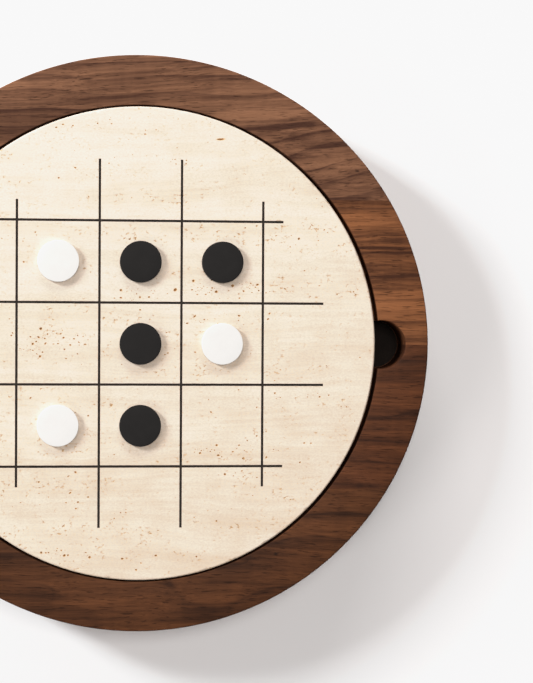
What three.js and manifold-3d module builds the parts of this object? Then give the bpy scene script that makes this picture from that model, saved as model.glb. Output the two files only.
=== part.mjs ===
// Tic tac toe set: a round walnut tray with a lift-out travertine board, a black-filled grid,
// ten round playing pieces, and a storage well under the board.
//
// Millimetres. +Z is up, +X points to the finger notch, and the origin is the middle of the plane
// that the feet stand on.

import * as THREE from 'three';
import { mergeVertices } from 'three/addons/utils/BufferGeometryUtils.js';
import Module from 'manifold-3d';

const wasm = await Module();
wasm.setup();

// ---------------------------------------------------------------- driving dimensions

const trayRadius = 178;            // a 14 inch tray
const trayHeight = 50;             // from the table to the top of the rim
const recessRadius = 147;          // round opening that the board drops into
const ledgeRadius = 138;           // inner edge of the ledge that carries the board
const rimEdgeEase = 1;             // broken outer corner of the rim
const recessEdgeEase = 0.5;        // broken inner corner of the rim
const footHeight = 2;
const baseThickness = 18;          // the floor boards of the tray
const baseEdgeEase = 2.5;

const boardRadius = 145.25;        // leaves a 1.75 mm gap all round
const boardThickness = 12;
const boardEdgeEase = 1;
const cell = 50;                   // pitch of the three by three grid
const lineWidth = 1.5;
const lineDepth = 1;
const lineFill = 0.7;              // the black filling stops just under the stone's surface
const innerLineLength = 4.5 * cell;
const outerLineLength = 3.5 * cell;

const notchRadius = 15;            // finger notch, cut down to the floor boards
const notchCentreX = 149;

const seatPadRadius = 3.5;
const seatPadHeight = 1;
const footRadius = 10;
const footCircleRadius = 150;
const linerRadius = 136;
const linerThickness = 1.5;
const linerGap = 0.5;              // round the tab of the liner that covers the notch's floor
const linerTabHalfWidth = 9;

const pieceRadius = 12.7;          // a 1 inch disc
const pieceThickness = 3;
const pieceEdgeEase = 0.4;

// ---------------------------------------------------------------- heights worked out from them

const baseBottom = footHeight;
const floorHeight = footHeight + baseThickness;
const boardTop = trayHeight;
const boardBottom = trayHeight - boardThickness;
const ledgeHeight = boardBottom - seatPadHeight;
const linerTop = floorHeight + linerThickness;

// The rim is four boards glued edge to edge and cut to a ring, and the floor is three.
const rimBoardWidth = trayRadius / 2;
const baseBoardWidth = trayRadius * 2 / 3;

// Facets round a full circle.
const wideFacets = 96;
const pieceFacets = 36;
const padFacets = 24;

// ---------------------------------------------------------------- materials

const walnut = { color: 0x6b4632, roughness: 0.6, metalness: 0 };
const travertine = { color: 0xece0cb, roughness: 0.55, metalness: 0 };
const blackFill = { color: 0x2a211b, roughness: 0.7, metalness: 0 };
const blackPaint = { color: 0x262321, roughness: 0.5, metalness: 0 };
const whitePaint = { color: 0xf0eeea, roughness: 0.5, metalness: 0 };
const felt = { color: 0x2b2623, roughness: 0.95, metalness: 0 };
const rubber = { color: 0x3a3734, roughness: 0.8, metalness: 0 };

// ---------------------------------------------------------------- helpers

const group = new THREE.Group();

/** Adds one named sub-part with a material of its own. */
function addPart(name, geometry, finish, position = [0, 0, 0]) {
  const mesh = new THREE.Mesh(geometry, new THREE.MeshStandardMaterial(finish));
  mesh.name = name;
  mesh.position.set(...position);
  group.add(mesh);
}

/** A body turned about Z from an outline of [radius, height] points. */
function turned(outline, facets) {
  const points = outline.map(([radius, height]) => new THREE.Vector2(radius, height));
  const geometry = new THREE.LatheGeometry(points, facets);
  geometry.rotateX(Math.PI / 2);
  return geometry;
}

/** A round disc standing on z = 0, with both rims eased. */
function easedDisc(radius, thickness, ease, facets) {
  return turned([
    [0, 0],
    [radius - ease, 0],
    [radius, ease],
    [radius, thickness - ease],
    [radius - ease, thickness],
    [0, thickness],
  ], facets);
}

/** A plain upright cylinder between two heights. */
function post(radius, low, high, facets) {
  return turned([[0, low], [radius, low], [radius, high], [0, high]], facets);
}

/** A box between two corners. */
function block(low, high) {
  const geometry = new THREE.BoxGeometry(high[0] - low[0], high[1] - low[1], high[2] - low[2]);
  geometry.translate((low[0] + high[0]) / 2, (low[1] + high[1]) / 2, (low[2] + high[2]) / 2);
  return geometry;
}

/** A closed geometry as a manifold solid, for joining and cutting. */
function toSolid(geometry) {
  const bare = geometry.clone();
  bare.deleteAttribute('normal');
  bare.deleteAttribute('uv');
  const merged = mergeVertices(bare, 1e-4);
  const triangles = [];
  for (let start = 0; start < merged.index.count; start += 3) {
    const corners = [0, 1, 2].map((step) => merged.index.getX(start + step));
    if (new Set(corners).size === 3) triangles.push(...corners);
  }
  return new wasm.Manifold(new wasm.Mesh({
    numProp: 3,
    vertProperties: new Float32Array(merged.attributes.position.array),
    triVerts: new Uint32Array(triangles),
  }));
}

/** A manifold solid as a geometry again. */
function toGeometry(solid) {
  const mesh = solid.getMesh();
  const geometry = new THREE.BufferGeometry();
  geometry.setAttribute('position', new THREE.BufferAttribute(new Float32Array(mesh.vertProperties), 3));
  geometry.setIndex(new THREE.BufferAttribute(new Uint32Array(mesh.triVerts), 1));
  geometry.computeVertexNormals();
  return geometry;
}

/** The part of a solid between two Y planes, on both sides of X = 0 or on one. */
function boardOf(solid, lowY, highY, lowX = -2 * trayRadius, highX = 2 * trayRadius) {
  return solid.intersect(toSolid(block([lowX, lowY, -trayHeight], [highX, highY, 2 * trayHeight])));
}

// ---------------------------------------------------------------- tray rim

const rimRing = toSolid(turned([
  [ledgeRadius, floorHeight],
  [trayRadius, floorHeight],
  [trayRadius, trayHeight - rimEdgeEase],
  [trayRadius - rimEdgeEase, trayHeight],
  [recessRadius + recessEdgeEase, trayHeight],
  [recessRadius, trayHeight - recessEdgeEase],
  [recessRadius, ledgeHeight],
  [ledgeRadius, ledgeHeight],
  [ledgeRadius, floorHeight],
], wideFacets));

const notchCutter = post(notchRadius, floorHeight - 1, trayHeight + 1, pieceFacets);
notchCutter.translate(notchCentreX, 0, 0);
const rim = rimRing.subtract(toSolid(notchCutter));

// The two outer boards become one arc each. The two middle boards lose their middle to the
// opening, so that a left and a right piece of each is left.
const farSide = 2 * trayRadius;
addPart('rim_back', toGeometry(boardOf(rim, rimBoardWidth, farSide)), walnut);
addPart('rim_front', toGeometry(boardOf(rim, -farSide, -rimBoardWidth)), walnut);
for (const [side, lowX, highX] of [['left', -farSide, 0], ['right', 0, farSide]]) {
  addPart(`rim_back_${side}`, toGeometry(boardOf(rim, 0, rimBoardWidth, lowX, highX)), walnut);
  addPart(`rim_front_${side}`, toGeometry(boardOf(rim, -rimBoardWidth, 0, lowX, highX)), walnut);
}

// ---------------------------------------------------------------- tray floor

const floorPanel = toSolid(turned([
  [0, baseBottom],
  [trayRadius - baseEdgeEase, baseBottom],
  [trayRadius, baseBottom + baseEdgeEase],
  [trayRadius, floorHeight],
  [0, floorHeight],
], wideFacets));

['base_front', 'base_middle', 'base_back'].forEach((name, index) => {
  const lowY = (index - 1.5) * baseBoardWidth;
  addPart(name, toGeometry(boardOf(floorPanel, lowY, lowY + baseBoardWidth)), walnut);
});

/** The felt liner's outline: the round floor of the well, and a tab with a round end in the notch. */
function linerOutline() {
  const tabRadius = notchRadius - linerGap;
  const wellAngle = Math.asin(linerTabHalfWidth / linerRadius);
  const tabAngle = Math.PI - Math.asin(linerTabHalfWidth / tabRadius);
  const outline = new THREE.Shape();
  outline.absarc(0, 0, linerRadius, wellAngle, 2 * Math.PI - wellAngle);
  outline.absarc(notchCentreX, 0, tabRadius, -tabAngle, tabAngle);
  return outline;
}

const liner = new THREE.ExtrudeGeometry(linerOutline(), {
  depth: linerThickness,
  bevelEnabled: false,
  curveSegments: wideFacets,
});
addPart('well_liner', liner, felt, [0, 0, floorHeight]);

// ---------------------------------------------------------------- feet and seat pads

for (let quarter = 0; quarter < 4; quarter += 1) {
  const angle = Math.PI / 4 + quarter * Math.PI / 2;
  const seatPadCircleRadius = (ledgeRadius + recessRadius) / 2;
  addPart(
    `foot_${quarter + 1}`,
    post(footRadius, 0, footHeight, padFacets),
    felt,
    [footCircleRadius * Math.cos(angle), footCircleRadius * Math.sin(angle), 0],
  );
  addPart(
    `seat_pad_${quarter + 1}`,
    post(seatPadRadius, 0, seatPadHeight, padFacets),
    rubber,
    [seatPadCircleRadius * Math.cos(angle), seatPadCircleRadius * Math.sin(angle), ledgeHeight],
  );
}

// ---------------------------------------------------------------- board and its grid

/** The crossing lines, four each way, as one solid between two heights: a plate with windows. */
function gridLines(low, high) {
  const edge = innerLineLength / 2;
  const window = cell / 2 - lineWidth / 2;
  const beyond = 2.5 * cell;
  const cutters = [];
  for (const column of [-2, -1, 0, 1, 2]) {
    for (const row of [-2, -1, 0, 1, 2]) {
      const [x, y] = [column * cell, row * cell];
      cutters.push(block([x - window, y - window, low - 1], [x + window, y + window, high + 1]));
    }
  }
  // The outer lines stop short of the inner ones, to stay inside the round board.
  for (const quarter of [0, 1, 2, 3]) {
    for (const [x, y] of [[cell, outerLineLength / 2], [outerLineLength / 2, cell]]) {
      const trim = block([x, y, low - 1], [beyond, beyond, high + 1]);
      trim.rotateZ(quarter * Math.PI / 2);
      cutters.push(trim);
    }
  }
  const plate = toSolid(block([-edge, -edge, low], [edge, edge, high]));
  return cutters.reduce((left, cutter) => left.subtract(toSolid(cutter)), plate);
}

const stone = easedDisc(boardRadius, boardThickness, boardEdgeEase, wideFacets);
stone.translate(0, 0, boardBottom);
const grooves = gridLines(boardTop - lineDepth, boardTop + 1);
addPart('board', toGeometry(toSolid(stone).subtract(grooves)), travertine);

const filling = gridLines(boardTop - lineDepth, boardTop - lineDepth + lineFill);
addPart('grid_inlay', toGeometry(filling), blackFill);

// ---------------------------------------------------------------- playing pieces

// A game in play, seen from above with the notch on the right: b black, w white, dot empty.
const layout = [
  'wbb',
  '.bw',
  'wb.',
];

// The pieces not in play lie in the well under the board.
const spares = [
  ['b', -30, 24],
  ['w', 12, -20],
  ['w', 30, 22],
];

const paints = { b: ['black_piece', blackPaint], w: ['white_piece', whitePaint] };
const counts = { b: 0, w: 0 };

/** Adds the next piece of a colour, standing on the given height. */
function addPiece(colour, x, y, height) {
  const [name, paint] = paints[colour];
  counts[colour] += 1;
  const disc = easedDisc(pieceRadius, pieceThickness, pieceEdgeEase, pieceFacets);
  addPart(`${name}_${counts[colour]}`, disc, paint, [x, y, height]);
}

layout.forEach((row, rowIndex) => {
  [...row].forEach((colour, columnIndex) => {
    if (colour !== '.') addPiece(colour, (columnIndex - 1) * cell, (1 - rowIndex) * cell, boardTop);
  });
});

for (const [colour, x, y] of spares) addPiece(colour, x, y, linerTop);

export default group;
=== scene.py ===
"""Tic tac toe set: walnut tray, travertine board, black-filled grid, round playing pieces.

Everything is in metres in the part's own frame: +Z up, +X towards the finger notch.
"""

import math
import random

import bmesh
import bpy
from mathutils import Matrix, Vector, noise
from mathutils.geometry import delaunay_2d_cdt


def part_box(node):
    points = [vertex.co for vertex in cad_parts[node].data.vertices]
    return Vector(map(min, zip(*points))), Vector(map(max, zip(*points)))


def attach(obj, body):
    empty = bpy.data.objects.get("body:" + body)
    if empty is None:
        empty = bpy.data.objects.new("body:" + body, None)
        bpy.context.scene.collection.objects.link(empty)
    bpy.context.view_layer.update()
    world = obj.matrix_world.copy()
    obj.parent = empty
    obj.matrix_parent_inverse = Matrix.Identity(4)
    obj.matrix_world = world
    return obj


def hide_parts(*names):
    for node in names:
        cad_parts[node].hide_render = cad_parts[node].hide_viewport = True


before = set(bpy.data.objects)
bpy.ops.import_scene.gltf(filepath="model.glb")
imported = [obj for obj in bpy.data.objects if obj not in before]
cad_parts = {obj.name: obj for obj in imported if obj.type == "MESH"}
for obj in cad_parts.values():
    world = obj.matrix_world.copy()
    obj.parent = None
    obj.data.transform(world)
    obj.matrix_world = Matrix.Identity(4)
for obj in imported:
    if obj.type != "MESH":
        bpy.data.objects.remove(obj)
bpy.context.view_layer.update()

MM = 0.001
SEED = 7

# ---------------------------------------------------------------- sizes, from the frame

TRAY_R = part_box("base_middle")[1].x
BASE_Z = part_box("base_middle")[0].z
FLOOR_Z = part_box("rim_back")[0].z
RIM_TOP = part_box("rim_back")[1].z
BOARD_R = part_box("board")[1].x
BOARD_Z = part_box("board")[0].z
BOARD_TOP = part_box("board")[1].z
LEDGE_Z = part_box("seat_pad_1")[0].z
# This corner is 105.5 mm out, so this script's well is narrower than the CAD's 138 mm radius.
LEDGE_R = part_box("rim_back_right")[0].xy.length
RECESS_R = BOARD_R + 2.1 * MM
STONE_R = BOARD_R - 0.6 * MM
LINE_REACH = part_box("grid_inlay")[1].x
LINE_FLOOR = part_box("grid_inlay")[0].z

# Half the length of a middle line and of an outer line, in cells.
LONG_LINE = 2.25
SHORT_LINE = 1.75
CELL = LINE_REACH / LONG_LINE
LINE_HALF = 0.75 * MM
NOTCH_X = 149 * MM
NOTCH_R = 15 * MM
LINER_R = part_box("well_liner")[1].y
LINER_GAP = 0.5 * MM
LINER_TAB_HALF = 9 * MM

# Wood dries narrower across its grain, which runs along X.
ACROSS_GRAIN = 0.989
RIM_SPLITS = (-TRAY_R / 2, 0, TRAY_R / 2)
BASE_SPLITS = (-TRAY_R / 3, TRAY_R / 3)
TRAY_SEGMENTS = 480
SEAM = 0.2 * MM


# ---------------------------------------------------------------- camera and light


def make_camera():
    """Looks almost straight down on the right part of the tray, from left of its middle."""
    place = Vector((-41.5, 16.8, 1217.6)) * MM
    target = Vector((77.35, 1.65, 50)) * MM
    roll = math.radians(0.305)
    data = bpy.data.cameras.new("camera")
    data.sensor_width = 36
    data.lens = 100.7
    camera = bpy.data.objects.new("camera", data)
    back = (place - target).normalized()
    right = Vector((0, 1, 0)).cross(back).normalized()
    turn = Matrix((right, back.cross(right), back)).transposed()
    turn = turn @ Matrix.Rotation(roll, 3, "Z")
    camera.matrix_world = Matrix.Translation(place) @ turn.to_4x4()
    bpy.context.scene.collection.objects.link(camera)
    bpy.context.scene.camera = camera


def make_light(name, azimuth, elevation, distance, width, height, power, colour):
    """A soft rectangular light aimed at the board. Azimuth is counted from +X towards +Y."""
    data = bpy.data.lights.new(name, "AREA")
    data.shape = "RECTANGLE"
    data.size = width
    data.size_y = height
    data.energy = power
    data.color = colour
    light = bpy.data.objects.new(name, data)
    light.visible_camera = False
    side, up = math.radians(azimuth), math.radians(elevation)
    away = Vector((math.cos(side) * math.cos(up), math.sin(side) * math.cos(up), math.sin(up)))
    light.location = away * distance
    light.rotation_euler = away.to_track_quat("Z", "Y").to_euler()
    bpy.context.scene.collection.objects.link(light)


def make_world():
    """A pale studio: bright low down, where side views see it, and dim overhead."""
    world = bpy.data.worlds.new("studio")
    world.use_nodes = True
    tree = world.node_tree
    direction = tree.nodes.new("ShaderNodeTexCoord").outputs["Generated"]
    split = tree.nodes.new("ShaderNodeSeparateXYZ")
    fade = tree.nodes.new("ShaderNodeMapRange")
    fade.inputs["From Min"].default_value = 0.12
    fade.inputs["From Max"].default_value = 0.35
    fade.inputs["To Min"].default_value = 0.97
    fade.inputs["To Max"].default_value = 0.08
    tree.links.new(direction, split.inputs[0])
    tree.links.new(split.outputs["Z"], fade.inputs["Value"])
    background = tree.nodes["Background"]
    background.inputs["Color"].default_value = (1, 0.92, 0.905, 1)
    tree.links.new(fade.outputs[0], background.inputs["Strength"])
    bpy.context.scene.world = world


def soften_highlights():
    """Plain colours, with the brightest whites rolled off just below paper white, as in print."""
    settings = bpy.context.scene.view_settings
    settings.view_transform = "Standard"
    settings.use_curve_mapping = True
    mapping = settings.curve_mapping
    brightest = 1.6
    mapping.white_level = (brightest, brightest, brightest)
    curve = mapping.curves[3]
    curve.points[1].location = (1, 0.94)
    for light, shown in ((0.80, 0.80), (1.0, 0.925), (1.15, 0.94)):
        curve.points.new(light / brightest, shown)
    for point in curve.points:
        point.handle_type = "VECTOR"
    mapping.update()


def make_stage():
    """A pale floor under a tall strip light at the upper left, two weaker ones and a top light."""
    cool, warm, mild = (0.97, 1.0, 1.02), (1, 0.95, 0.935), (1, 0.965, 0.945)
    make_light("key", 150, 28, 4.5, 0.6, 1.5, 208, cool)
    make_light("low", 90, 24, 4.5, 3.0, 1.1, 126, warm)
    make_light("side", 215, 32, 4.5, 1.6, 1.2, 50, warm)
    make_light("top", 80, 82, 4.0, 1.3, 1.3, 66, mild)
    make_world()
    soften_highlights()

    size = 6
    corners = [(-size, -size, 0), (size, -size, 0), (size, size, 0), (-size, size, 0)]
    paper = Shader("floor_paper").finish(Base_Color=rgb(0.92, 0.92, 0.92), Roughness=0.9)
    make_object("floor", corners, [(0, 1, 2, 3)], paper)


# ---------------------------------------------------------------- shader helper


class Shader:
    """A material whose nodes are added one short call at a time. Coordinates are in millimetres."""

    def __init__(self, name):
        self.material = bpy.data.materials.new(name)
        self.material.use_nodes = True
        self.tree = self.material.node_tree
        self.surface = self.tree.nodes["Principled BSDF"]
        place = self.tree.nodes.new("ShaderNodeTexCoord").outputs["Object"]
        self.place = self.vector("MULTIPLY", place, (1 / MM, 1 / MM, 1 / MM))

    def node(self, kind, inputs=(), output=0, **settings):
        """A new node with its settings and inputs. Returns one of its outputs."""
        made = self.tree.nodes.new("ShaderNode" + kind)
        for key, value in settings.items():
            setattr(made, key, value)
        for key, value in dict(inputs).items():
            self.set(made.inputs[key], value)
        return made.outputs[output]

    def set(self, socket, value):
        """Links the socket if the value is another node's output, and otherwise fills it in."""
        if isinstance(value, bpy.types.NodeSocket):
            self.tree.links.new(value, socket)
        else:
            socket.default_value = value

    def vector(self, operation, a, b, output=0):
        return self.node("VectorMath", {0: a, 1: b}, output, operation=operation)

    def math(self, operation, a, b=0.0, c=0.0):
        return self.node("Math", {0: a, 1: b, 2: c}, operation=operation)

    def noise(self, place, stretch=(1, 1, 1), scale=1.0, detail=2.0, rough=0.5, output="Fac"):
        """Noise whose features are about 1 / (scale * stretch) millimetres long along each axis."""
        inputs = {
            "Vector": self.vector("MULTIPLY", place, stretch),
            "Scale": scale,
            "Detail": detail,
            "Roughness": rough,
        }
        return self.node("TexNoise", inputs, output)

    def remap(self, value, low, high, to_low=0.0, to_high=1.0):
        """Value from low to high becomes to_low to to_high, smoothly, and stays there outside."""
        inputs = {"Value": value, "From Min": low, "From Max": high}
        inputs |= {"To Min": to_low, "To Max": to_high}
        return self.node("MapRange", inputs, interpolation_type="SMOOTHSTEP")

    def mix(self, share, a, b, blend="MIX"):
        """Colour a, with b laid over it by the share."""
        made = self.tree.nodes.new("ShaderNodeMix")
        made.data_type = "RGBA"
        made.blend_type = blend
        for name, value in (("Factor", share), ("A", a), ("B", b)):
            socket = next(s for s in made.inputs if s.name == name and s.enabled)
            self.set(socket, value)
        return next(s for s in made.outputs if s.enabled)

    def tone(self, colour, value):
        """The colour made darker by a value under 1 and brighter by a value over 1."""
        grey = self.node("CombineColor", {0: value, 1: value, 2: value})
        return self.mix(1.0, colour, grey, "MULTIPLY")

    def bump(self, height, distance, strength):
        return self.node("Bump", {"Height": height, "Distance": distance, "Strength": strength})

    def finish(self, **sockets):
        """Sets the surface's own sockets, named with _ for a space."""
        for key, value in sockets.items():
            self.set(self.surface.inputs[key.replace("_", " ")], value)
        return self.material


def rgb(red, green, blue):
    return (red, green, blue, 1.0)


def scaled(colour, factor):
    """A red, green and blue colour times a factor."""
    return rgb(*[factor * part for part in colour])


# ---------------------------------------------------------------- walnut


def walnut(name, shift, look):
    """Oiled walnut with its grain along X, from the settings of one board in BOARD_LOOKS."""
    s = Shader(name)
    light, dark, (heart_y, heart_z) = look["light"], look["dark"], look["heart"]
    place = s.vector("ADD", s.place, shift)

    # The grain wanders, runs off the board's edge a little, and swells round a knot.
    drift = s.noise(place, (0.005, 0.012, 0.012), detail=2, output="Color")
    wobble = s.noise(place, (0.014, 0.045, 0.045), detail=2, output="Color")
    drift = s.vector("MULTIPLY", s.vector("SUBTRACT", drift, (0.5, 0.5, 0.5)), (0, look["drift"], 24))
    wobble = s.vector("MULTIPLY", s.vector("SUBTRACT", wobble, (0.5, 0.5, 0.5)), (0, 4.5, 4.5))
    along = s.node("SeparateXYZ", {0: s.place}, 0)
    rise = s.node("CombineXYZ", {1: s.math("MULTIPLY", along, -look["slope"])})
    bent = s.vector("ADD", s.vector("ADD", s.vector("ADD", s.place, drift), wobble), rise)
    grain = s.vector("ADD", bent, shift)

    # Growth rings: each year fades from pale to dark and starts pale again.
    ring_y = s.math("SUBTRACT", s.node("SeparateXYZ", {0: bent}, 1), heart_y)
    ring_z = s.math("SUBTRACT", s.node("SeparateXYZ", {0: bent}, 2), heart_z)
    squares = s.math("MULTIPLY", ring_y, ring_y), s.math("MULTIPLY", ring_z, ring_z)
    radius = s.math("SQRT", s.math("ADD", *squares))
    rings = s.math("DIVIDE", radius, look["ring"])
    within = s.math("FRACT", rings)
    tone = s.node("TexWhiteNoise", {"W": s.math("FLOOR", rings)}, noise_dimensions="1D")
    late = s.math("MAXIMUM", s.math("POWER", within, 3.0), s.remap(within, 0.0, 0.10, 1, 0))
    late = s.math("MULTIPLY", late, s.remap(tone, 0.1, 0.9, 0.4, 1.0))
    fading = s.noise(grain, (0.007, 0.05, 0.05), detail=2)
    late = s.math("MULTIPLY", late, s.remap(fading, 0.35, 0.6, 0.35, 1.0))

    # Broad shading, bands, streaks and fibres, all along the same grain.
    broad = s.noise(grain, (0.006, 0.030, 0.030), detail=2)
    band = s.noise(grain, (0.0045, 0.14, 0.14), detail=3, rough=0.55)
    streak = s.noise(grain, (0.0065, 0.46, 0.46), detail=3, rough=0.6)
    fibre = s.noise(grain, (0.05, 2.3, 2.3), detail=3, rough=0.6)
    curl = s.noise(place, (0.13, 0.018, 0.05), detail=2)
    pores = s.remap(s.noise(grain, (0.10, 1.3, 1.3), detail=2), 0.58, 0.68)

    depth = s.math("MULTIPLY", late, look["rings_show"])
    depth = s.math("ADD", depth, s.remap(broad, 0.32, 0.68, 0, 0.20))
    depth = s.math("ADD", depth, s.remap(band, 0.34, 0.66, 0, look["bands_show"]))
    depth = s.math("ADD", depth, s.remap(streak, 0.34, 0.66, 0, 0.34))
    depth = s.math("ADD", depth, s.remap(curl, 0.35, 0.65, -0.10, 0.0))
    for x, y, length, width, strength in look["streaks"]:
        off = s.vector("SUBTRACT", bent, (x, y - look["slope"] * x, 0))
        off = s.vector("MULTIPLY", off, (1 / length, 1 / width, 0))
        reach = s.vector("LENGTH", off, (0, 0, 0), output="Value")
        depth = s.math("ADD", depth, s.remap(reach, 0.2, 1.0, strength, 0))
    colour = s.mix(s.math("MINIMUM", s.math("MAXIMUM", depth, 0), 1), rgb(*light), rgb(*dark))

    colour = s.tone(colour, s.remap(fibre, 0.3, 0.7, 0.84, 1.14))
    colour = s.mix(s.math("MULTIPLY", pores, 0.62), colour, scaled(dark, 0.45))

    # End grain drinks more oil and is darker. It faces along X.
    facing = s.node("TexCoord", output="Normal")
    end_grain = s.remap(s.math("ABSOLUTE", s.node("SeparateXYZ", {0: facing}, 0)), 0.45, 0.95)
    colour = s.mix(s.math("MULTIPLY", end_grain, 0.6), colour, scaled(dark, 0.8))

    for x, y, size in look["knots"]:
        off = s.vector("MULTIPLY", s.vector("SUBTRACT", s.place, (x, y, 0)), (0.7, 1, 0))
        reach = s.vector("LENGTH", off, (0, 0, 0), output="Value")
        ragged = s.math("MULTIPLY_ADD", s.noise(s.place, scale=0.9), size, reach)
        knot = s.remap(ragged, 0.7 * size, 1.8 * size, 0.85, 0)
        colour = s.mix(knot, colour, scaled(dark, 0.3))

    relief = s.math("SUBTRACT", s.math("MULTIPLY", fibre, 0.5), pores)
    return s.finish(
        Base_Color=colour,
        Roughness=s.math("MULTIPLY_ADD", pores, 0.12, s.remap(streak, 0.3, 0.7, 0.60, 0.70)),
        Normal=s.bump(relief, 0.00006, 0.7),
        Specular_IOR_Level=0.13,
    )


# ---------------------------------------------------------------- travertine


def travertine():
    """Honed travertine: pale bands along X, cloudy mottling, and stained, pitted, porous beds.

    The mesh attribute pore is 0 on the open surface and rises to 1 down in a pore.
    """
    s = Shader("travertine")
    warp = s.noise(s.place, (0.006, 0.02, 0.02), detail=2, output="Color")
    warp = s.vector("MULTIPLY", s.vector("SUBTRACT", warp, (0.5, 0.5, 0.5)), (0, 26, 26))
    bent = s.vector("ADD", s.place, warp)

    wide_band = s.noise(bent, (0.004, 0.045, 0.045), detail=3, rough=0.55)
    thin_band = s.noise(bent, (0.012, 0.42, 0.42), detail=4, rough=0.62)
    cloud = s.noise(s.place, scale=0.06, detail=4, rough=0.6)
    speck = s.noise(s.place, (0.7, 1.1, 1.1), detail=4, rough=0.65)

    pale, warm = rgb(0.772, 0.665, 0.553), rgb(0.63, 0.512, 0.390)
    depth = s.remap(wide_band, 0.32, 0.70, 0, 0.46)
    depth = s.math("ADD", depth, s.remap(thin_band, 0.35, 0.68, 0, 0.30))
    depth = s.math("ADD", depth, s.remap(cloud, 0.35, 0.68, 0, 0.26))

    # The slab is a little darker towards the front.
    towards = s.vector("DOT_PRODUCT", s.place, (0.0006, -0.0022, 0), output="Value")
    depth = s.math("ADD", depth, towards)
    colour = s.mix(s.remap(depth, -0.1, 1.25), pale, warm)
    colour = s.tone(colour, s.remap(speck, 0.30, 0.70, 0.90, 1.06))

    # Porous beds: tan staining, and pits too small to model, ragged and shallow.
    bed = s.remap(s.noise(bent, (0.011, 0.070, 0.070), detail=3, rough=0.6), 0.44, 0.62)
    stain = s.math("MULTIPLY", bed, s.remap(speck, 0.48, 0.66))
    colour = s.mix(s.math("MULTIPLY", stain, 0.30), colour, rgb(0.66, 0.43, 0.22))
    pitting = s.noise(s.place, (0.42, 0.60, 0.60), detail=3.5, rough=0.62)
    scattered = s.remap(s.noise(s.place, scale=0.10, detail=2), 0.46, 0.62, 0.12, 1.0)
    patchy = s.math("MAXIMUM", s.math("MULTIPLY", bed, scattered), s.math("MULTIPLY", scattered, 0.3))
    shallow = s.math("MULTIPLY", s.remap(pitting, 0.56, 0.62), patchy)
    deep = s.math("MULTIPLY", s.remap(pitting, 0.63, 0.69), patchy)
    colour = s.mix(s.math("MULTIPLY", shallow, 0.8), colour, rgb(0.62, 0.385, 0.18))
    colour = s.mix(deep, colour, rgb(0.36, 0.195, 0.08))

    pore = s.node("Attribute", output="Fac", attribute_name="pore")
    colour = s.mix(s.remap(pore, 0.0, 0.45, 0, 0.85), colour, rgb(0.64, 0.40, 0.185))
    colour = s.mix(s.remap(pore, 0.4, 1.0, 0, 0.95), colour, rgb(0.40, 0.215, 0.085))

    grain = s.noise(s.place, scale=2.6, detail=3, rough=0.6)
    relief = s.math("SUBTRACT", s.math("MULTIPLY", grain, 0.3), s.math("ADD", shallow, deep))
    return s.finish(
        Base_Color=colour,
        Roughness=s.remap(speck, 0.3, 0.7, 0.55, 0.68),
        Normal=s.bump(relief, 0.00022, 0.8),
        Specular_IOR_Level=0.3,
    )


# ---------------------------------------------------------------- paint, filler, felt, rubber


def powder_coat(name, colour, worn, roughness):
    """Matte powder coat with its fine pebbled skin, cloudy with handling and rubbed at the edge."""
    s = Shader(name)
    pebble = s.noise(s.place, scale=2.4, detail=2, rough=0.5)
    cloud = s.noise(s.place, scale=0.14, detail=3, rough=0.6)
    tone = s.mix(s.remap(cloud, 0.35, 0.7, 0, 0.5), rgb(*colour), rgb(*worn))
    rubbed = s.remap(s.node("NewGeometry", output="Pointiness"), 0.515, 0.60, 0, 0.5)
    tone = s.mix(rubbed, tone, rgb(*worn))
    return s.finish(
        Base_Color=tone,
        Roughness=s.remap(cloud, 0.3, 0.7, roughness - 0.05, roughness + 0.06),
        Normal=s.bump(pebble, 0.00005, 0.5),
        Specular_IOR_Level=0.22,
    )


def filler():
    """Matte black filler, slightly brown and granular."""
    s = Shader("black_fill")
    grain = s.noise(s.place, scale=3.0, detail=3, rough=0.6)
    patch = s.noise(s.place, scale=0.2, detail=2)
    tone = s.mix(s.remap(patch, 0.3, 0.7), rgb(0.012, 0.009, 0.007), rgb(0.022, 0.016, 0.012))
    tone = s.mix(s.remap(grain, 0.45, 0.7, 0, 0.35), tone, rgb(0.045, 0.034, 0.026))
    return s.finish(
        Base_Color=tone,
        Roughness=s.remap(grain, 0.3, 0.7, 0.78, 0.9),
        Normal=s.bump(grain, 0.00008, 0.8),
        Specular_IOR_Level=0.25,
    )


def felt(name, colour, fleck):
    """Pressed wool felt: short tangled fibres in two tones, with a soft sheen."""
    s = Shader(name)
    tangle = s.noise(s.place, scale=1.3, detail=5, rough=0.75)
    hair = s.noise(s.place, (3.2, 0.7, 1.5), detail=3, rough=0.7)
    cross_hair = s.noise(s.place, (0.7, 3.2, 1.5), detail=3, rough=0.7)
    hairs = s.math("MAXIMUM", hair, cross_hair)
    patch = s.noise(s.place, scale=0.05, detail=3)
    tone = s.mix(s.remap(tangle, 0.3, 0.7), rgb(*colour), rgb(*fleck))
    tone = s.mix(s.remap(hairs, 0.60, 0.74, 0, 0.6), tone, scaled(fleck, 1.9))
    tone = s.tone(tone, s.remap(patch, 0.3, 0.7, 0.82, 1.1))
    relief = s.math("ADD", tangle, s.math("MULTIPLY", hairs, 0.7))
    return s.finish(
        Base_Color=tone,
        Roughness=s.remap(tangle, 0.3, 0.7, 0.86, 0.98),
        Normal=s.bump(relief, 0.0003, 0.9),
        Specular_IOR_Level=0.2,
        Sheen_Weight=0.06,
        Sheen_Roughness=0.4,
    )


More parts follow.
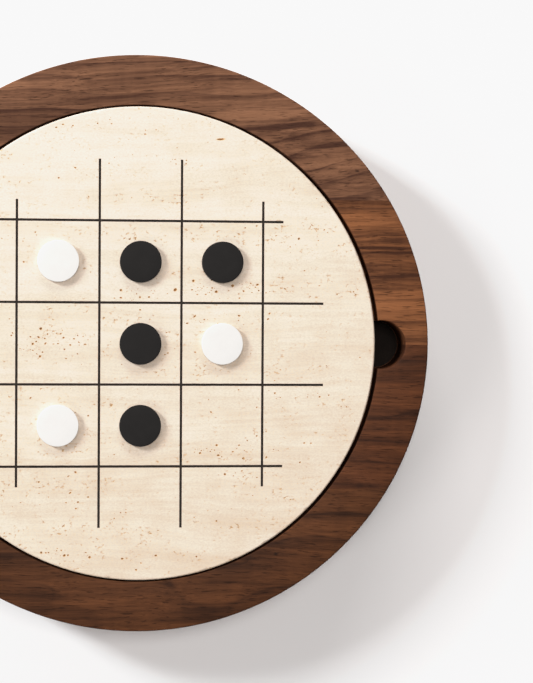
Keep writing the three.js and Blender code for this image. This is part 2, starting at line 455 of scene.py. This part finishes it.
def pad_rubber():
    """Dull moulded rubber with a little dust in its skin."""
    s = Shader("pad_rubber")
    skin = s.noise(s.place, scale=3.5, detail=3, rough=0.6)
    dust = s.noise(s.place, scale=0.5, detail=3)
    tone = s.mix(s.remap(dust, 0.45, 0.75, 0, 0.5), rgb(0.045, 0.042, 0.04), rgb(0.12, 0.11, 0.10))
    return s.finish(
        Base_Color=tone,
        Roughness=s.remap(dust, 0.3, 0.7, 0.55, 0.75),
        Normal=s.bump(skin, 0.00005, 0.6),
    )


# ---------------------------------------------------------------- mesh helpers


def corner(centre_r, centre_z, radius, start, end, steps=5):
    """Points of a round corner in a (radius, height) outline. Angles are in degrees."""
    points = []
    for step in range(steps + 1):
        angle = math.radians(start + (end - start) * step / steps)
        points.append((centre_r + radius * math.cos(angle), centre_z + radius * math.sin(angle)))
    return points


def turned(outline, segments, closed=False):
    """Vertices and faces of a body turned about Z from counter-clockwise (radius, height) points."""
    vertices, faces, rings = [], [], []
    for radius, height in outline:
        if radius < 1e-9:
            rings.append([len(vertices)] * segments)
            vertices.append((0, 0, height))
            continue
        rings.append(list(range(len(vertices), len(vertices) + segments)))
        for step in range(segments):
            angle = 2 * math.pi * step / segments
            vertices.append((radius * math.cos(angle), radius * math.sin(angle), height))
    pairs = list(zip(rings, rings[1:] + rings[:1]))
    for low, high in pairs if closed else pairs[:-1]:
        for step in range(segments):
            after = (step + 1) % segments
            face = [low[step], low[after], high[after], high[step]]
            face = [v for i, v in enumerate(face) if v not in face[:i]]
            if len(face) > 2:
                faces.append(face)
    return vertices, faces


def make_object(name, vertices, faces, material=None):
    """A new mesh object in the scene."""
    mesh = bpy.data.meshes.new(name)
    mesh.from_pydata(vertices, [], faces)
    mesh.validate()
    mesh.update()
    made = bpy.data.objects.new(name, mesh)
    bpy.context.scene.collection.objects.link(made)
    if material:
        mesh.materials.append(material)
    return made


def shade(piece, angle=35):
    """Faces along the axes stay flat, the rest are smooth, and sharp edges stay sharp."""
    mesh = piece.data
    for face in mesh.polygons:
        face.use_smooth = max(abs(part) for part in face.normal) < 0.99999
    mesh.set_sharp_from_angle(angle=math.radians(angle))


def cut_out(piece, cutter):
    """Takes the cutter's shape out of the piece and removes the cutter."""
    change = piece.modifiers.new("cut", "BOOLEAN")
    change.operation = "DIFFERENCE"
    change.solver = "EXACT"
    change.object = cutter
    graph = bpy.context.evaluated_depsgraph_get()
    mesh = bpy.data.meshes.new_from_object(piece.evaluated_get(graph))
    piece.modifiers.clear()
    piece.data = mesh
    bpy.data.objects.remove(cutter)


def slab_of(source, name, low_y, high_y, low_x, high_x):
    """A copy of the source between the planes that are given, with its cuts closed."""
    made = bpy.data.objects.new(name, source.data.copy())
    bpy.context.scene.collection.objects.link(made)
    form = bmesh.new()
    form.from_mesh(made.data)
    for axis, limit, side in ((1, low_y, -1), (1, high_y, 1), (0, low_x, -1), (0, high_x, 1)):
        if limit is None:
            continue
        normal = Vector((0, 0, 0))
        normal[axis] = side
        place = Vector((0, 0, 0))
        place[axis] = limit
        cut = bmesh.ops.bisect_plane(
            form,
            geom=form.verts[:] + form.edges[:] + form.faces[:],
            plane_co=place,
            plane_no=normal,
            clear_outer=True,
        )
        edges = [part for part in cut["geom_cut"] if isinstance(part, bmesh.types.BMEdge)]
        bmesh.ops.holes_fill(form, edges=edges, sides=0)
    bmesh.ops.recalc_face_normals(form, faces=form.faces[:])
    form.to_mesh(made.data)
    form.free()
    made.data.name = name
    return made


def place_piece(piece, node, body):
    """The finished piece stands for a CAD node, whose part it hides, and rides on its body."""
    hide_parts(node)
    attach(piece, body)


# ---------------------------------------------------------------- tray


# How each board of the tray looks. heart is the tree's centre as (y, z) and ring the width of a
# year, in millimetres. slope is how much the grain rises towards +X. streaks are single light or
# dark streaks: x, y, half length, half width, and strength, which is negative for a light one.
# knots are x, y and size.
# The tones run lighter and pinker at the back and darker at the front. This is partly each board's own
# walnut and partly painted light: a painted sheen on the back boards and painted shade on the front
# ones.
BACK = {"light": (0.216, 0.099, 0.051), "dark": (0.054, 0.0205, 0.011)}
MIDDLE = {"light": (0.225, 0.084, 0.031), "dark": (0.046, 0.015, 0.006)}
FRONT = {"light": (0.098, 0.0345, 0.0120), "dark": (0.027, 0.0094, 0.0036)}
BASE = {"light": (0.15, 0.058, 0.023), "dark": (0.042, 0.015, 0.006)}
BOARD_LOOKS = {
    "rim_back": BACK | {
        "heart": (-40, -240), "ring": 5.2, "slope": 0.065, "drift": 11, "rings_show": 0.8,
        "bands_show": 0.42,
        "streaks": ((72, 141, 56, 4.6, -0.9), (84, 134, 44, 2.6, 0.6), (10, 138, 60, 2.4, 0.45)),
        "knots": ((133, 107, 1.0),),
    },
    "rim_back_left": MIDDLE | {"heart": (60, -220), "slope": 0.02},
    "rim_back_right": MIDDLE | {
        "heart": (-160, -120), "ring": 5.0, "slope": 0.02, "rings_show": 0.62, "bands_show": 0.45,
        "streaks": (
            (160, 61, 60, 1.6, 0.6),
            (160, 45, 60, 2.2, 0.4),
            (160, 24, 70, 9.0, -0.3),
            (128, 78, 40, 6.0, -0.25),
        ),
    },
    "rim_front_left": MIDDLE | {"light": (0.145, 0.052, 0.020), "heart": (-90, -200), "slope": -0.01},
    "rim_front_right": MIDDLE | {
        "light": (0.108, 0.035, 0.012), "dark": (0.027, 0.0088, 0.0036),
        "heart": (-120, -150), "slope": -0.02,
    },
    "rim_front": FRONT | {
        "heart": (-190, -160), "ring": 6.0, "slope": -0.025, "rings_show": 0.6, "bands_show": 0.35,
        "knots": ((84, -129, 1.2),),
    },
    "base_front": BASE | {"heart": (-110, 190), "slope": 0.01},
    "base_middle": BASE | {"heart": (10, 230), "slope": -0.012},
    "base_back": BASE | {"heart": (125, 180), "slope": 0.014},
}
USUAL_LOOK = {
    "ring": 5.0, "drift": 16, "rings_show": 0.6, "bands_show": 0.45, "streaks": (), "knots": (),
}


def board_material(name, index):
    """The walnut of one board. The shift gives each board a figure of its own, in millimetres."""
    shift = (311.0 * index + 40, 173.0 * index, 97.0 * index)
    return walnut(name + "_walnut", shift, USUAL_LOOK | BOARD_LOOKS[name])


def make_rim():
    """The ring, with its notch, cut along the glue lines into the boards that it is made of."""
    outer, inner, flare = 1.0 * MM, 0.35 * MM, 0.5 * MM
    outline = [(LEDGE_R, FLOOR_Z), (TRAY_R - SEAM, FLOOR_Z), (TRAY_R, FLOOR_Z + SEAM)]
    outline += corner(TRAY_R - outer, RIM_TOP - outer, outer, 0, 90)
    outline += corner(RECESS_R + inner, RIM_TOP - inner, inner, 90, 180, 4)
    outline += [(RECESS_R, LEDGE_Z)]
    outline += corner(LEDGE_R + inner, LEDGE_Z - inner, inner, 90, 180, 3)
    ring = make_object("ring", *turned(outline, TRAY_SEGMENTS, closed=True))
    ring.data.transform(Matrix.Diagonal((1, ACROSS_GRAIN, 1, 1)))

    bore = [(0, FLOOR_Z - MM), (NOTCH_R, FLOOR_Z - MM), (NOTCH_R, RIM_TOP - flare)]
    bore += corner(NOTCH_R + flare, RIM_TOP - flare, flare, 180, 90, 4)[1:]
    bore += [(NOTCH_R + flare, RIM_TOP + MM), (0, RIM_TOP + MM)]
    cutter = make_object("bore", *turned(bore, 96))
    cutter.data.transform(Matrix.Translation((NOTCH_X, 0, 0)))
    cut_out(ring, cutter)

    low, middle, high = RIM_SPLITS
    boards = {
        "rim_back": (high, None, None, None),
        "rim_back_left": (middle, high, None, 0),
        "rim_back_right": (middle, high, 0, None),
        "rim_front_left": (low, middle, None, 0),
        "rim_front_right": (low, middle, 0, None),
        "rim_front": (None, low, None, None),
    }
    for index, (name, planes) in enumerate(boards.items()):
        board = slab_of(ring, name + "_board", *planes)
        board.data.materials.append(board_material(name, index))
        shade(board)
        place_piece(board, name, "tray")
    bpy.data.objects.remove(ring)


def make_base():
    """The floor of the tray, three boards wide, with its lower edge rounded."""
    edge = 2.5 * MM
    outline = [(0, BASE_Z)]
    outline += corner(TRAY_R - edge, BASE_Z + edge, edge, -90, 0, 6)
    outline += [(TRAY_R, FLOOR_Z - SEAM), (TRAY_R - SEAM, FLOOR_Z), (0, FLOOR_Z)]
    disc = make_object("disc", *turned(outline, TRAY_SEGMENTS))
    disc.data.transform(Matrix.Diagonal((1, ACROSS_GRAIN, 1, 1)))
    low, high = BASE_SPLITS
    boards = {
        "base_front": (None, low, None, None),
        "base_middle": (low, high, None, None),
        "base_back": (high, None, None, None),
    }
    for index, (name, planes) in enumerate(boards.items(), start=6):
        board = slab_of(disc, name + "_board", *planes)
        board.data.materials.append(board_material(name, index))
        shade(board)
        place_piece(board, name, "tray")
    bpy.data.objects.remove(disc)


def foot_disc(number, material):
    """A felt foot in its CAD node's space, with a soft rim and a slightly uneven face."""
    rings, segments, edge, lump = 8, 64, 0.5 * MM, 0.1 * MM
    low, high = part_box(f"foot_{number}")
    radius = (high.x - low.x) / 2
    outline = [(0, low.z), (radius - edge * 0.4, low.z), (radius, low.z + edge * 0.4)]
    outline += corner(radius - edge, high.z - edge, edge, 0, 90, 4)
    outline += [((radius - edge) * (1 - step / rings), high.z) for step in range(1, rings + 1)]
    vertices, faces = turned(outline, segments)
    middle = (low + high) / 2
    moved = []
    for x, y, z in vertices:
        here = Vector((x + middle.x, y + middle.y, z))
        above = (z - low.z) / (high.z - low.z)
        dip = lump * (noise.noise(here / (6 * MM)) - 1) / 2 * above
        outward = 1 + 0.35 * lump / radius * noise.noise(here / (2.5 * MM) + Vector((9, 9, 9)))
        moved.append((middle.x + x * min(outward, 1), middle.y + y * min(outward, 1), z + dip))
    made = make_object(f"foot_pad_{number}", moved, faces, material)
    for face in made.data.polygons:
        face.use_smooth = True
    made.data.set_sharp_from_angle(angle=math.radians(50))
    return made


def liner_outline(inset):
    """The liner's edge, moved in by the inset: its disc, and the tab with a round end in the notch."""
    well_steps, tab_steps = 300, 40
    half = LINER_TAB_HALF - inset
    well, tab = LINER_R - inset, NOTCH_R - LINER_GAP - inset
    start, turn = math.asin(half / well), math.pi - math.asin(half / tab)
    outline = []
    for step in range(well_steps + 1):
        angle = start + (2 * math.pi - 2 * start) * step / well_steps
        outline.append(Vector((well * math.cos(angle), well * math.sin(angle))))
    for step in range(tab_steps + 1):
        angle = -turn + 2 * turn * step / tab_steps
        outline.append(Vector((NOTCH_X + tab * math.cos(angle), tab * math.sin(angle))))
    return outline


def side_faces(first, size, step):
    """Faces from a closed loop of size vertices to the loop whose numbers are a step higher."""
    faces = []
    for index in range(size):
        after = (index + 1) % size
        faces.append((first + index, first + after, first + step + after, first + step + index))
    return faces


def make_liner():
    """The felt on the floor of the well: a soft cut edge, and a face that isn't quite flat."""
    low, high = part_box("well_liner")
    edge, lump, spacing = 0.5 * MM, 0.12 * MM, 4.5 * MM
    rings = [(0.15 * MM, low.z), (0, low.z + 0.15 * MM)]
    rings += [(edge - r, z) for r, z in corner(0, high.z - edge, edge, 0, 90, 4)]
    vertices, faces = [], []
    count = len(liner_outline(0))
    for inset, height in rings:
        vertices += [(p.x, p.y, height) for p in liner_outline(inset)]
    for level in range(len(rings) - 1):
        faces += side_faces(level * count, count, count)

    rows = range(-round(LINER_R / spacing), round(LINER_R / spacing) + 1)
    inner = []
    for row in rows:
        for column in rows:
            inner.append(Vector(((column + row % 2 / 2) * spacing, row * spacing)))
    inner = [p for p in inner if p.length < LINER_R - spacing]
    for level, extra, flipped in ((0, [], True), (len(rings) - 1, inner, False)):
        outline = liner_outline(rings[level][0])
        triangles, insides = triangulate([outline], extra)
        first = len(vertices)
        vertices += [(p.x, p.y, rings[level][1]) for p in extra]
        for triangle in (t for t, inside in zip(triangles, insides) if inside):
            face = [v + level * count if v < count else v - count + first for v in triangle]
            faces.append(face[::-1] if flipped else face)

    moved = []
    for x, y, z in vertices:
        above = (z - low.z) / (high.z - low.z)
        dip = lump * (noise.noise(Vector((x, y, 0)) / (6 * MM)) - 1) / 2
        moved.append((x, y, z + dip * above))
    dark_felt = felt("liner_felt", (0.0080, 0.0054, 0.0040), (0.0185, 0.013, 0.0098))
    liner = make_object("well_felt", moved, faces, dark_felt)
    tidy_normals(liner)
    shade(liner, 50)
    place_piece(liner, "well_liner", "tray")

    outline = liner_outline(0)


def make_pads():
    """The felt feet under the tray, and the rubber pads that the stone rests on."""
    foot_felt = felt("foot_felt", (0.03, 0.025, 0.021), (0.07, 0.058, 0.048))
    rubber = pad_rubber()
    for number in range(1, 5):
        place_piece(foot_disc(number, foot_felt), f"foot_{number}", "tray")
        low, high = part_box(f"seat_pad_{number}")
        radius, dome = (high.x - low.x) / 2, 0.45 * MM
        outline = [(0, low.z), (radius, low.z), (radius, high.z - dome)]
        outline += corner(radius - dome, high.z - dome, dome, 0, 90, 4)[1:] + [(0, high.z)]
        pad = make_object(f"bumper_{number}", *turned(outline, 48), rubber)
        pad.data.transform(Matrix.Translation(((low.x + high.x) / 2, (low.y + high.y) / 2, 0)))
        shade(pad)
        place_piece(pad, f"seat_pad_{number}", "tray")


# ---------------------------------------------------------------- grid lines


def line_reach(offset):
    """Half the length of the line that lies offset cells from the middle."""
    return (SHORT_LINE if abs(offset) > 1 else LONG_LINE) * CELL


def line_corners(half):
    """Corners round the crossing lines, which are twice half wide, and round the nine squares."""
    spread = half - LINE_HALF
    edge = 1.5 * CELL + half
    outline = []
    for quarter in range(4):
        for offset in (1.5, 0.5, -0.5, -1.5):
            reach = line_reach(offset) + spread
            middle = offset * CELL
            right, left = middle + half, middle - half
            side = [(right, edge), (right, reach), (left, reach), (left, edge)]
            for x, y in side if offset > -1.5 else side[:3]:
                for _ in range(quarter):
                    x, y = -y, x
                outline.append((x, y))
    loops = [outline]
    inner = CELL / 2 - half
    for column in (-1, 0, 1):
        for row in (-1, 0, 1):
            signs = ((-1, -1), (1, -1), (1, 1), (-1, 1))
            x, y = column * CELL, row * CELL
            loops.append([(x + along * inner, y + across * inner) for along, across in signs])
    return loops


def line_loops(half, roughness=0.0):
    """The same outlines with points at even spaces, moved sideways a little if they are rough."""
    spacing, ragged = 2.5 * MM, 1.7 * MM
    nominal = line_corners(LINE_HALF)
    loops = []
    for plain, actual in zip(nominal, line_corners(half)):
        points = []
        for index, (x, y) in enumerate(actual):
            after_x, after_y = actual[(index + 1) % len(actual)]
            long = math.dist(plain[index], plain[(index + 1) % len(plain)])
            steps = max(1, round(long / spacing))
            for step in range(steps):
                share = step / steps
                here = Vector((x + (after_x - x) * share, y + (after_y - y) * share, 0))
                if roughness and step:
                    across = Vector((y - after_y, after_x - x, 0)).normalized()
                    here += across * roughness * noise.noise(here / ragged)
                points.append(here.xy)
        loops.append(points)
    return loops


def triangulate(loops, extra=()):
    """Triangles between closed loops, with the loops that each lies inside.

    Returns (triangles, insides) with the vertices numbered through the loops in order, and then
    through the extra points.
    """
    points, edges, faces = [], [], []
    for loop in loops:
        first = len(points)
        points += [Vector(p) for p in loop]
        numbers = list(range(first, len(points)))
        edges += list(zip(numbers, numbers[1:] + numbers[:1]))
        faces.append(numbers)
    points += extra
    _, _, triangles, origins, _, insides = delaunay_2d_cdt(points, edges, faces, 0, 1e-9)
    triangles = [[origins[v][0] for v in triangle] for triangle in triangles]
    return triangles, [set(inside) for inside in insides]


def make_inlay(material):
    """The black filling: it climbs the walls of its groove and sags a little between them."""
    wall, slope = LINE_HALF - 0.02 * MM, LINE_HALF - 0.25 * MM
    rim_height = BOARD_TOP - 0.09 * MM
    profile = [(wall, LINE_FLOOR), (wall, rim_height), (slope, rim_height - 0.10 * MM)]
    vertices, faces = [], []
    rings = [line_loops(half) for half, _ in profile]
    count = sum(len(loop) for loop in rings[0])
    for loops, (_, height) in zip(rings, profile):
        vertices += [(p.x, p.y, height) for loop in loops for p in loop]
    for level in range(len(profile) - 1):
        start = level * count
        for loop in rings[0]:
            faces += side_faces(start, len(loop), count)
            start += len(loop)
    for level, flipped in ((0, True), (len(profile) - 1, False)):
        triangles, insides = triangulate(rings[level])
        for triangle, inside in zip(triangles, insides):
            if inside == {0}:
                face = [v + level * count for v in triangle]
                faces.append(face[::-1] if flipped else face)
    inlay = make_object("grid_filling", vertices, faces, material)
    tidy_normals(inlay)
    shade(inlay, 60)
    place_piece(inlay, "grid_inlay", "board")


def tidy_normals(piece):
    """Turns every face of a closed mesh outwards."""
    form = bmesh.new()
    form.from_mesh(piece.data)
    bmesh.ops.recalc_face_normals(form, faces=form.faces[:])
    form.to_mesh(piece.data)
    form.free()


# ---------------------------------------------------------------- travertine board

# Where the stone is porous: from x, to x, y, spread in y, number of pores, largest half length.
# Lengths of pores are in millimetres here and in scatter_pores.
POROUS_BANDS = (
    (-62, 52, -128, 3.0, 40, 0.9),
    (28, 80, 33, 2.5, 84, 1.0),
    (-14, 28, 30, 2.0, 26, 0.8),
    (26, 84, 17, 4.0, 40, 0.8),
    (-80, -34, 0, 6.0, 64, 0.8),
    (-10, 24, -6, 6.0, 14, 0.6),
    (36, 84, -64, 4.0, 50, 0.9),
    (50, 86, -80, 3.0, 14, 0.8),
    (-50, 46, 134, 5.0, 26, 0.8),
    (-34, 30, 114, 3.5, 16, 0.7),
    (-110, -60, 62, 6.0, 16, 0.7),
    (-120, -30, -96, 6.0, 22, 0.7),
    (84, 126, -30, 9.0, 20, 0.7),
    (78, 120, 66, 9.0, 16, 0.7),
    (-128, -80, -20, 8.0, 18, 0.8),
    (-20, 70, -104, 4.0, 14, 0.7),
)
SMALLEST_PORE = 0.22
STRAY_PORES = 150
LIP_STAIN = 0.42


def scatter_pores(rng):
    """Pores as (x, y, half length, half width, turn), clear of each other, the lines and the rim."""
    rim_margin, line_margin, stained, stray_radius = 2.2, 0.35, 1.6, 142
    # The first is the one long pore, near the back rim.
    pores = [(48.6, 125.3, 2.6, 0.6, 0.05)]

    def is_clear(x, y, reach):
        if math.hypot(x, y) > STONE_R / MM - rim_margin - reach:
            return False
        room = reach + LINE_HALF / MM + line_margin
        for offset in (-1.5, -0.5, 0.5, 1.5):
            line, end = offset * CELL / MM, line_reach(offset) / MM + room
            if (abs(x - line) < room and abs(y) < end) or (abs(y - line) < room and abs(x) < end):
                return False
        return all(math.hypot(x - p[0], y - p[1]) > reach + stained * p[2] for p in pores)

    def add(x, y, largest):
        length = SMALLEST_PORE + (largest - SMALLEST_PORE) * rng.random() ** 2.4
        width = length * rng.uniform(0.45, 0.95)
        if is_clear(x, y, stained * length):
            pores.append((x, y, length, width, rng.gauss(0, 0.35)))

    for low_x, high_x, y, spread, count, largest in POROUS_BANDS:
        knots = [(rng.uniform(low_x, high_x), rng.gauss(y, spread * 0.5)) for _ in range(4)]
        for _ in range(count):
            knot_x, knot_y = rng.choice(knots)
            if rng.random() < 0.6:
                add(rng.gauss(knot_x, 4.0), rng.gauss(knot_y, 1.6), largest)
            else:
                add(rng.uniform(low_x, high_x), rng.gauss(y, spread), largest)
    for _ in range(STRAY_PORES):
        angle, away = rng.uniform(0, 2 * math.pi), stray_radius * math.sqrt(rng.random())
        add(away * math.cos(angle), away * math.sin(angle), 0.7)
    return pores


def pore_rings(pore, rng):
    """A pore's loops from the stained stone round it down to its floor, with their depths and stain."""
    x, y, length, width, turn = (value * MM for value in pore)
    turn /= MM
    points = 10 if length < 0.5 * MM else 14
    wobble = [1 + rng.uniform(-0.4, 0.4) for _ in range(points)]
    wobble = [(wobble[i - 1] + 2 * wobble[i] + wobble[(i + 1) % points]) / 4 for i in range(points)]
    depth = width * rng.uniform(0.8, 1.5)
    rings = []
    levels = ((1.5, 0, 0.0), (1.0, 0, LIP_STAIN), (0.86, 0.45, 0.8), (0.55, 0.95, 1.0))
    for scale, share, stain in levels:
        loop = []
        for index in range(points):
            angle = 2 * math.pi * index / points
            reach = scale if scale > 1 else scale * wobble[index]
            along = length * reach * math.cos(angle)
            across = width * reach * math.sin(angle)
            loop.append(Vector((
                x + along * math.cos(turn) - across * math.sin(turn),
                y + along * math.sin(turn) + across * math.cos(turn),
            )))
        rings.append((loop, BOARD_TOP - share * depth, stain))
    return rings, (Vector((x, y)), BOARD_TOP - 1.05 * depth)


def make_board(material):
    """The stone disc: eased and slightly chipped rims, grooves with ragged edges, and open pores."""
    rng = random.Random(SEED)
    segments, ease, break_edge, roughness = 720, 1.0 * MM, 0.07 * MM, 0.11 * MM
    vertices, stains, faces = [], [], []

    def add_loop(loop, height, stain=0.0):
        first = len(vertices)
        vertices.extend((p[0], p[1], height) for p in loop)
        stains.extend([stain] * len(loop))
        return list(range(first, len(vertices)))

    def join(upper, lower):
        count = len(upper)
        for index in range(count):
            after = (index + 1) % count
            faces.append((upper[index], lower[index], lower[after], upper[after]))

    # Chips, where the rim has lost up to a millimetre: a large one at the back, and small ones.
    # Each has an angle and a half width in radians, and a depth.
    chips = []
    for _ in range(26):
        angle, width = rng.uniform(0, 2 * math.pi), rng.uniform(0.004, 0.014)
        chips.append((angle, width, rng.uniform(0.3, 1.0) * MM))
    chips.append((math.radians(100.6), 0.009, 1.1 * MM))

    def chip_depth(angle):
        deep = 0.0
        for middle, width, depth in chips:
            off = (angle - middle + math.pi) % (2 * math.pi) - math.pi
            deep = max(deep, depth * math.exp(-((off / width) ** 2)))
        here = Vector((math.cos(angle), math.sin(angle), 0)) * STONE_R
        return deep + 0.10 * MM * abs(noise.noise(here / (4 * MM)))

    def ring(radius, cut=0.0):
        loop = []
        for step in range(segments):
            angle = 2 * math.pi * step / segments
            reach = radius - cut * chip_depth(angle)
            loop.append((reach * math.cos(angle), reach * math.sin(angle)))
        return loop

    # The top: one flat sheet of triangles between the rim, the grooves and the pores.
    top_loops = [ring(STONE_R - ease, 1.0)]
    top_loops += line_loops(LINE_HALF + break_edge, roughness)
    groove_loops = len(top_loops) - 1
    pores = [pore_rings(pore, rng) for pore in scatter_pores(rng)]
    pore_starts = []
    for rings, _ in pores:
        pore_starts.append(len(top_loops) + 1)
        top_loops += [rings[0][0], rings[1][0]]
    numbered = []
    for index, loop in enumerate(top_loops):
        stain = LIP_STAIN if index in pore_starts else 0.0
        numbered.append(add_loop(loop, BOARD_TOP, stain))
    triangles, insides = triangulate(top_loops)
    squares = set(range(2, groove_loops + 1))
    holes = set(pore_starts)
    for triangle, inside in zip(triangles, insides):
        in_groove = 1 in inside and not inside & squares
        if 0 in inside and not in_groove and not inside & holes:
            faces.append(triangle)

    # Grooves: a broken edge, a wall, and a flat floor.
    walls = line_loops(LINE_HALF)
    feet = []
    for upper, loop in zip(numbered[1:groove_loops + 1], walls):
        lip = add_loop(loop, BOARD_TOP - break_edge)
        foot = add_loop(loop, LINE_FLOOR)
        join(upper, lip)
        join(lip, foot)
        feet += foot
    triangles, insides = triangulate(walls)
    faces += [[feet[v] for v in t] for t, inside in zip(triangles, insides) if inside == {0}]

    # Pores.
    for start, (rings, (middle, bottom)) in zip(pore_starts, pores):
        upper = numbered[start]
        for loop, height, stain in rings[2:]:
            lower = add_loop(loop, height, stain)
            join(upper, lower)
            upper = lower
        tip = add_loop([middle], bottom, 1.0)[0]
        faces += [(upper[i], tip, upper[(i + 1) % len(upper)]) for i in range(len(upper))]

    # Rim, side and underside.
    upper = numbered[0]
    for radius, height in corner(STONE_R - ease, BOARD_TOP - ease, ease, 90, 0, 5)[1:]:
        share = (height - (BOARD_TOP - ease)) / ease
        lower = add_loop(ring(radius, share), height)
        join(upper, lower)
        upper = lower
    for radius, height in corner(STONE_R - ease, BOARD_Z + ease, ease, 0, -90, 4):
        lower = add_loop(ring(radius), height)
        join(upper, lower)
        upper = lower
    middle = add_loop([(0, 0)], BOARD_Z)[0]
    faces += [(upper[i], middle, upper[(i + 1) % segments]) for i in range(segments)]

    board = make_object("stone_board", vertices, faces, material)
    tidy_normals(board)
    mark = board.data.attributes.new("pore", "FLOAT", "POINT")
    mark.data.foreach_set("value", stains)
    shade(board)
    # The top stays flat up to the rims of its grooves and pores.
    for face in board.data.polygons:
        face.use_smooth = min(vertices[v][2] for v in face.vertices) < BOARD_TOP - 1e-7
    place_piece(board, "board", "board")


# ---------------------------------------------------------------- playing pieces


def make_pieces():
    """Every playing piece: a thin disc with rounded edges, in powder coat."""
    coats = {
        "black": powder_coat("black_paint", (0.0066, 0.0056, 0.0050), (0.0145, 0.0130, 0.0122), 0.72),
        "white": powder_coat("white_paint", (0.74, 0.725, 0.69), (0.70, 0.685, 0.65), 0.62),
    }
    edge = 0.45 * MM
    for colour, coat in coats.items():
        for number in range(1, 6):
            node = f"{colour}_piece_{number}"
            low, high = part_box(node)
            radius = (high.x - low.x) / 2
            outline = [(0, low.z), (radius * 0.5, low.z)]
            outline += corner(radius - edge, low.z + edge, edge, -90, 0, 6)
            outline += corner(radius - edge, high.z - edge, edge, 0, 90, 6)
            outline += [(radius * 0.5, high.z), (0, high.z)]
            disc = make_object(f"{colour}_disc_{number}", *turned(outline, 144), coat)
            disc.data.transform(Matrix.Translation(((low.x + high.x) / 2, (low.y + high.y) / 2, 0)))
            shade(disc)
            place_piece(disc, node, node)


# ---------------------------------------------------------------- build

make_camera()
make_stage()
make_rim()
make_base()
make_liner()
make_pads()
make_board(travertine())
make_inlay(filler())
make_pieces()
